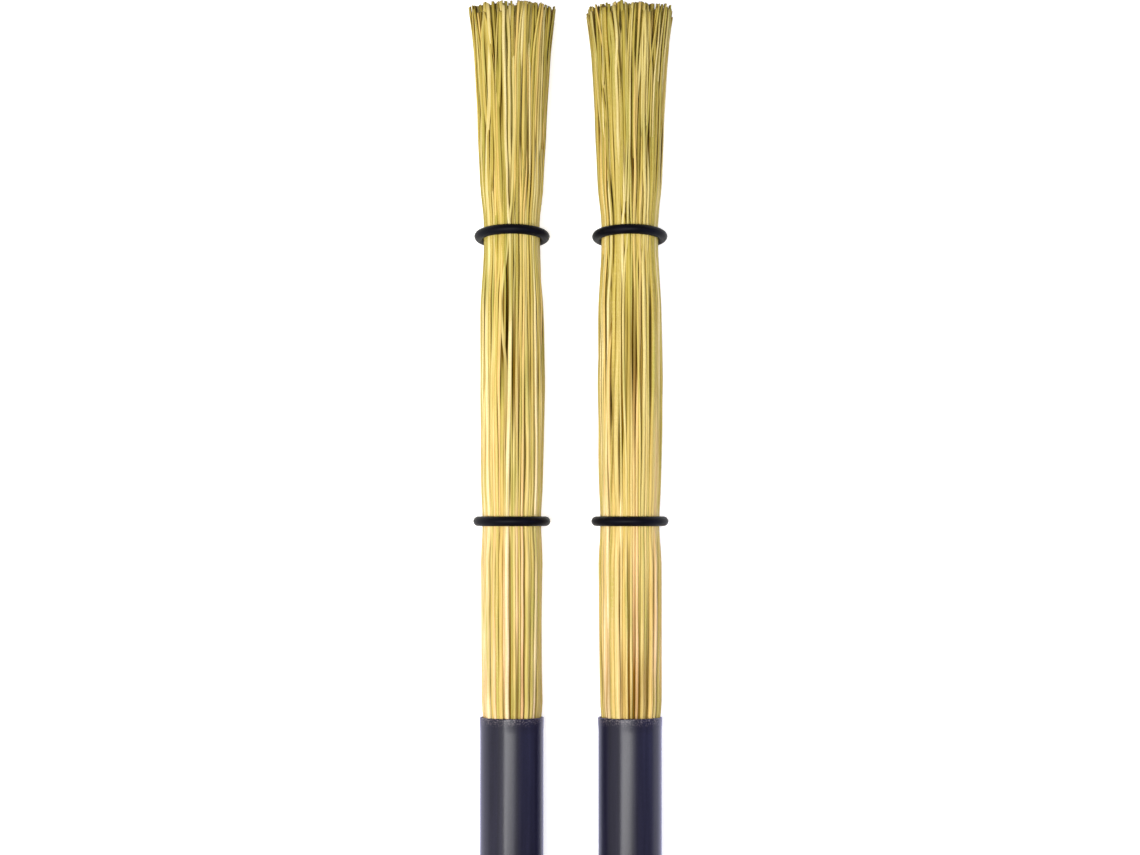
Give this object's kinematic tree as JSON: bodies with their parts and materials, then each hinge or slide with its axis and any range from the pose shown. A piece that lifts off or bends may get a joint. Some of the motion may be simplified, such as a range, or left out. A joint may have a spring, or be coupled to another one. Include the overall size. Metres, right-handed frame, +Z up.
{
  "type": "pair of straw drum brushes",
  "caption": "Pair of straw drum brushes: a bundle of natural stems in a dark shrink-sleeved handle, held by sliding rubber O-rings.",
  "frame": {"origin": "on the surface that the pair lies on, below the middle of its bounding box", "axes": "+X from the left brush to the right one, +Y along the brushes towards the tips, +Z up"},
  "size_m": [0.052, 0.3951, 0.0218],
  "materials": {
    "straw": "natural broomcorn straw",
    "sleeve": "satin shrink tube",
    "cap": "moulded, matte",
    "ring": "moulded, satin",
    "dowel": "raw",
    "twine": "waxed twine"
  },
  "bodies": {
    "left_brush": {"left_grip_sleeve": "sleeve", "left_butt_cap": "cap", "left_core_dowel": "dowel", "left_rear_binding": "twine", "left_front_binding": "twine", "left_outer_straw_01": "straw", "left_outer_straw_02": "straw", "left_outer_straw_03": "straw", "left_outer_straw_04": "straw", "left_outer_straw_05": "straw", "left_outer_straw_06": "straw", "left_outer_straw_07": "straw", "left_outer_straw_08": "straw", "left_outer_straw_09": "straw", "left_outer_straw_10": "straw", "left_outer_straw_11": "straw", "left_outer_straw_12": "straw", "left_inner_straw_1": "straw", "left_inner_straw_2": "straw", "left_inner_straw_3": "straw", "left_inner_straw_4": "straw", "left_inner_straw_5": "straw", "left_inner_straw_6": "straw", "left_centre_straw": "straw"},
    "left_lower_ring": {"left_lower_ring": "ring"},
    "left_upper_ring": {"left_upper_ring": "ring"},
    "right_brush": {"right_grip_sleeve": "sleeve", "right_butt_cap": "cap", "right_core_dowel": "dowel", "right_rear_binding": "twine", "right_front_binding": "twine", "right_outer_straw_01": "straw", "right_outer_straw_02": "straw", "right_outer_straw_03": "straw", "right_outer_straw_04": "straw", "right_outer_straw_05": "straw", "right_outer_straw_06": "straw", "right_outer_straw_07": "straw", "right_outer_straw_08": "straw", "right_outer_straw_09": "straw", "right_outer_straw_10": "straw", "right_outer_straw_11": "straw", "right_outer_straw_12": "straw", "right_inner_straw_1": "straw", "right_inner_straw_2": "straw", "right_inner_straw_3": "straw", "right_inner_straw_4": "straw", "right_inner_straw_5": "straw", "right_inner_straw_6": "straw", "right_centre_straw": "straw"},
    "right_lower_ring": {"right_lower_ring": "ring"},
    "right_upper_ring": {"right_upper_ring": "ring"}
  },
  "joints": [
    {"name": "right_brush_lift", "type": "slide", "parent": "left_brush", "child": "right_brush", "axis": [0, 0, 1], "range_m": [0, 0.05]},
    {"name": "left_lower_ring_slide", "type": "slide", "parent": "left_brush", "child": "left_lower_ring", "axis": [0, 1, 0.0051], "range_m": [-0.03, 0.018], "deforming": ["left_outer_straw_01", "left_outer_straw_02", "left_outer_straw_03", "left_outer_straw_04", "left_outer_straw_05", "left_outer_straw_06", "left_outer_straw_07", "left_outer_straw_08", "left_outer_straw_09", "left_outer_straw_10", "left_outer_straw_11", "left_outer_straw_12", "left_inner_straw_1", "left_inner_straw_2", "left_inner_straw_3", "left_inner_straw_4", "left_inner_straw_5", "left_inner_straw_6", "left_centre_straw"]},
    {"name": "left_upper_ring_slide", "type": "slide", "parent": "left_brush", "child": "left_upper_ring", "axis": [0, 1, 0.0051], "range_m": [-0.018, 0.03], "deforming": ["left_outer_straw_01", "left_outer_straw_02", "left_outer_straw_03", "left_outer_straw_04", "left_outer_straw_05", "left_outer_straw_06", "left_outer_straw_07", "left_outer_straw_08", "left_outer_straw_09", "left_outer_straw_10", "left_outer_straw_11", "left_outer_straw_12", "left_inner_straw_1", "left_inner_straw_2", "left_inner_straw_3", "left_inner_straw_4", "left_inner_straw_5", "left_inner_straw_6", "left_centre_straw"]},
    {"name": "right_lower_ring_slide", "type": "slide", "parent": "right_brush", "child": "right_lower_ring", "axis": [0, 1, 0.0051], "range_m": [-0.03, 0.018], "deforming": ["right_outer_straw_01", "right_outer_straw_02", "right_outer_straw_03", "right_outer_straw_04", "right_outer_straw_05", "right_outer_straw_06", "right_outer_straw_07", "right_outer_straw_08", "right_outer_straw_09", "right_outer_straw_10", "right_outer_straw_11", "right_outer_straw_12", "right_inner_straw_1", "right_inner_straw_2", "right_inner_straw_3", "right_inner_straw_4", "right_inner_straw_5", "right_inner_straw_6", "right_centre_straw"]},
    {"name": "right_upper_ring_slide", "type": "slide", "parent": "right_brush", "child": "right_upper_ring", "axis": [0, 1, 0.0051], "range_m": [-0.018, 0.03], "deforming": ["right_outer_straw_01", "right_outer_straw_02", "right_outer_straw_03", "right_outer_straw_04", "right_outer_straw_05", "right_outer_straw_06", "right_outer_straw_07", "right_outer_straw_08", "right_outer_straw_09", "right_outer_straw_10", "right_outer_straw_11", "right_outer_straw_12", "right_inner_straw_1", "right_inner_straw_2", "right_inner_straw_3", "right_inner_straw_4", "right_inner_straw_5", "right_inner_straw_6", "right_centre_straw"]}
  ]
}
